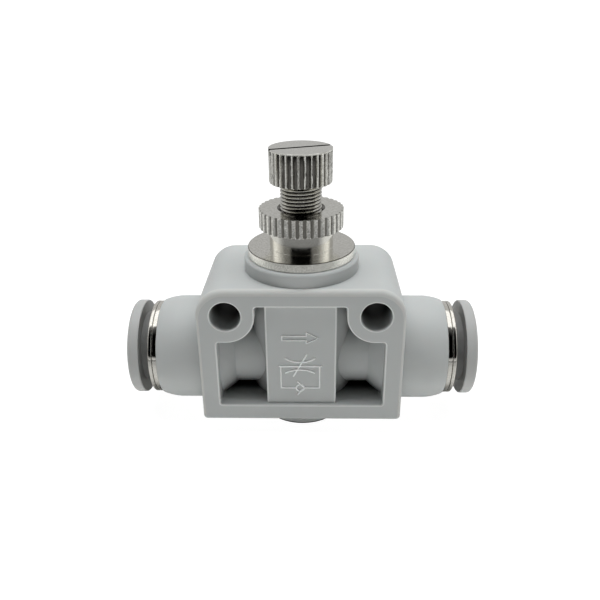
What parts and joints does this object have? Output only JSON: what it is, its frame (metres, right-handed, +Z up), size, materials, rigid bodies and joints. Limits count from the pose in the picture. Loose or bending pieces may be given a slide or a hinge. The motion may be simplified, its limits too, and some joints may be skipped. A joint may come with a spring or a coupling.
{
  "type": "in-line flow control valve",
  "caption": "In-line pneumatic flow control valve: grey moulded block with windows and mounting holes, push-in tube ports at both ends, and a knurled needle knob with a lock nut on top.",
  "frame": {"origin": "centre of the round foot's flat underside, on the needle's axis", "axes": "+X along the tubes in the direction of metered flow, +Y from the face with the flow symbol to the rear face, +Z up along the needle to the knob"},
  "size_m": [0.051, 0.018, 0.0409],
  "materials": {
    "body_plastic": "moulded light grey",
    "collar_plastic": "moulded warm grey",
    "turned_nickel": "turned, knurled and nickel plated",
    "bright_nickel": "bright nickel plate",
    "spring_steel": "stamped stainless spring sheet",
    "seal_rubber": "matt black nitrile"
  },
  "bodies": {
    "root": {"body": "body_plastic", "needle_guide": "turned_nickel", "guide_o_ring": "seal_rubber", "check_seal": "seal_rubber", "left_guide_ring": "bright_nickel", "left_outer_ring": "bright_nickel", "left_lock_claw": "spring_steel", "left_seal_spacer": "seal_rubber", "left_tube_seal": "seal_rubber", "right_guide_ring": "bright_nickel", "right_outer_ring": "bright_nickel", "right_lock_claw": "spring_steel", "right_seal_spacer": "seal_rubber", "right_tube_seal": "seal_rubber"},
    "needle_seal": {"needle_o_ring": "seal_rubber"},
    "knob": {"needle": "turned_nickel", "adjusting_knob": "turned_nickel"},
    "nut": {"lock_nut": "turned_nickel"},
    "left_collar": {"left_release_collar": "collar_plastic"},
    "right_collar": {"right_release_collar": "collar_plastic"}
  },
  "joints": [
    {"name": "needle_lift", "type": "slide", "parent": "root", "child": "needle_seal", "axis": [0, 0, 1], "range_m": [-0.003, 0.0015]},
    {"name": "knob_turn", "type": "hinge", "parent": "needle_seal", "child": "knob", "pos_m": [0, 0, 0.0385], "axis": [0, 0, 1], "range_deg": [-2160, 1080]},
    {"name": "lock_nut_turn", "type": "hinge", "parent": "root", "child": "nut", "pos_m": [0, 0, 0.0311], "axis": [0, 0, 1], "range_deg": [0, 360]},
    {"name": "left_collar_push", "type": "slide", "parent": "root", "child": "left_collar", "axis": [1, 0, 0], "range_m": [0, 0.0012]},
    {"name": "right_collar_push", "type": "slide", "parent": "root", "child": "right_collar", "axis": [-1, 0, 0], "range_m": [0, 0.0012]}
  ],
  "couplings": [
    {"joint": "knob_turn", "follows": "needle_lift", "rad_per_m": 12566}
  ]
}
